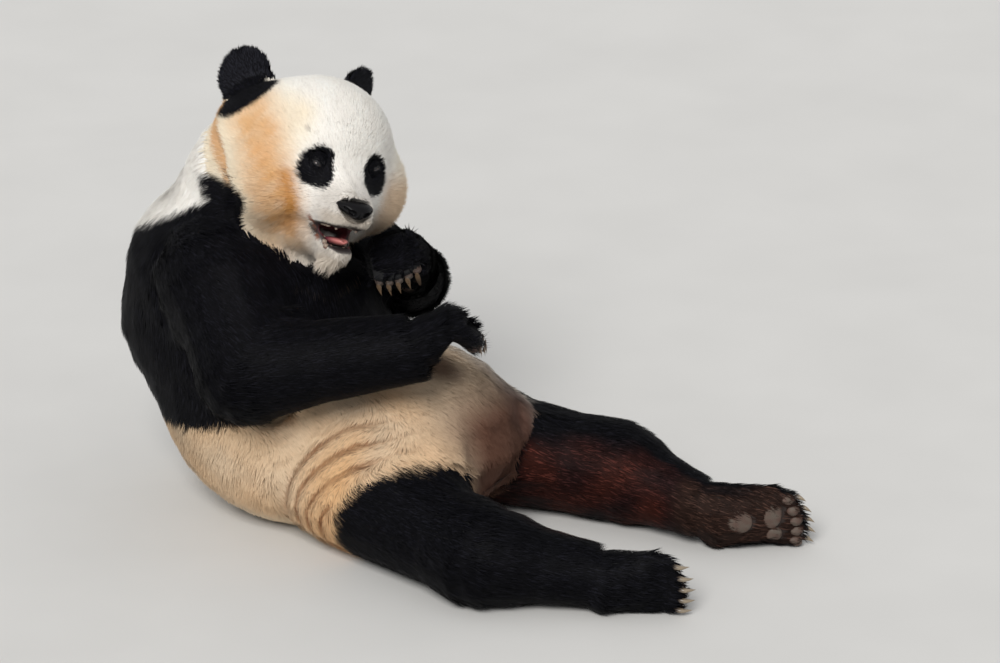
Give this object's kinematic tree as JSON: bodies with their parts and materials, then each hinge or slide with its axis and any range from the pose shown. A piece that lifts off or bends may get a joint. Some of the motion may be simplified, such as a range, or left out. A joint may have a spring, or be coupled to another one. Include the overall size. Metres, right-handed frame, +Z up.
{
  "type": "giant panda model",
  "caption": "Life-size still model of a giant panda sitting on the floor and leaning back, mouth open, one forepaw at its chin and the other before its belly, hind legs stretched forward.",
  "frame": {"origin": "on the floor, under the middle of the box", "axes": "+Z up; the animal's trunk and hind legs point along -Y, its left side is +X; its head is turned to its right"},
  "size_m": [0.6746, 1.2948, 0.8604],
  "materials": {
    "coat_white": "matte",
    "coat_black": "matte",
    "claws": "satin",
    "eyes": "gloss",
    "nose": "satin",
    "tongue": "satin"
  },
  "bodies": {
    "root": {"head": "coat_white", "jaw": "coat_white", "neck": "coat_white", "belly": "coat_white", "rump": "coat_white", "tail": "coat_white", "chest": "coat_black", "ear_right": "coat_black", "upper_arm_right": "coat_black", "forearm_right": "coat_black", "hand_right": "coat_black", "thigh_right": "coat_black", "shank_right": "coat_black", "foot_right": "coat_black", "eye_right": "eyes", "hand_claw_1_right": "claws", "hand_claw_2_right": "claws", "hand_claw_3_right": "claws", "hand_claw_4_right": "claws", "hand_claw_5_right": "claws", "foot_claw_1_right": "claws", "foot_claw_2_right": "claws", "foot_claw_3_right": "claws", "foot_claw_4_right": "claws", "foot_claw_5_right": "claws", "ear_left": "coat_black", "upper_arm_left": "coat_black", "forearm_left": "coat_black", "hand_left": "coat_black", "thigh_left": "coat_black", "shank_left": "coat_black", "foot_left": "coat_black", "eye_left": "eyes", "hand_claw_1_left": "claws", "hand_claw_2_left": "claws", "hand_claw_3_left": "claws", "hand_claw_4_left": "claws", "hand_claw_5_left": "claws", "foot_claw_1_left": "claws", "foot_claw_2_left": "claws", "foot_claw_3_left": "claws", "foot_claw_4_left": "claws", "foot_claw_5_left": "claws", "nose": "nose", "tongue": "tongue"}
  },
  "joints": []
}
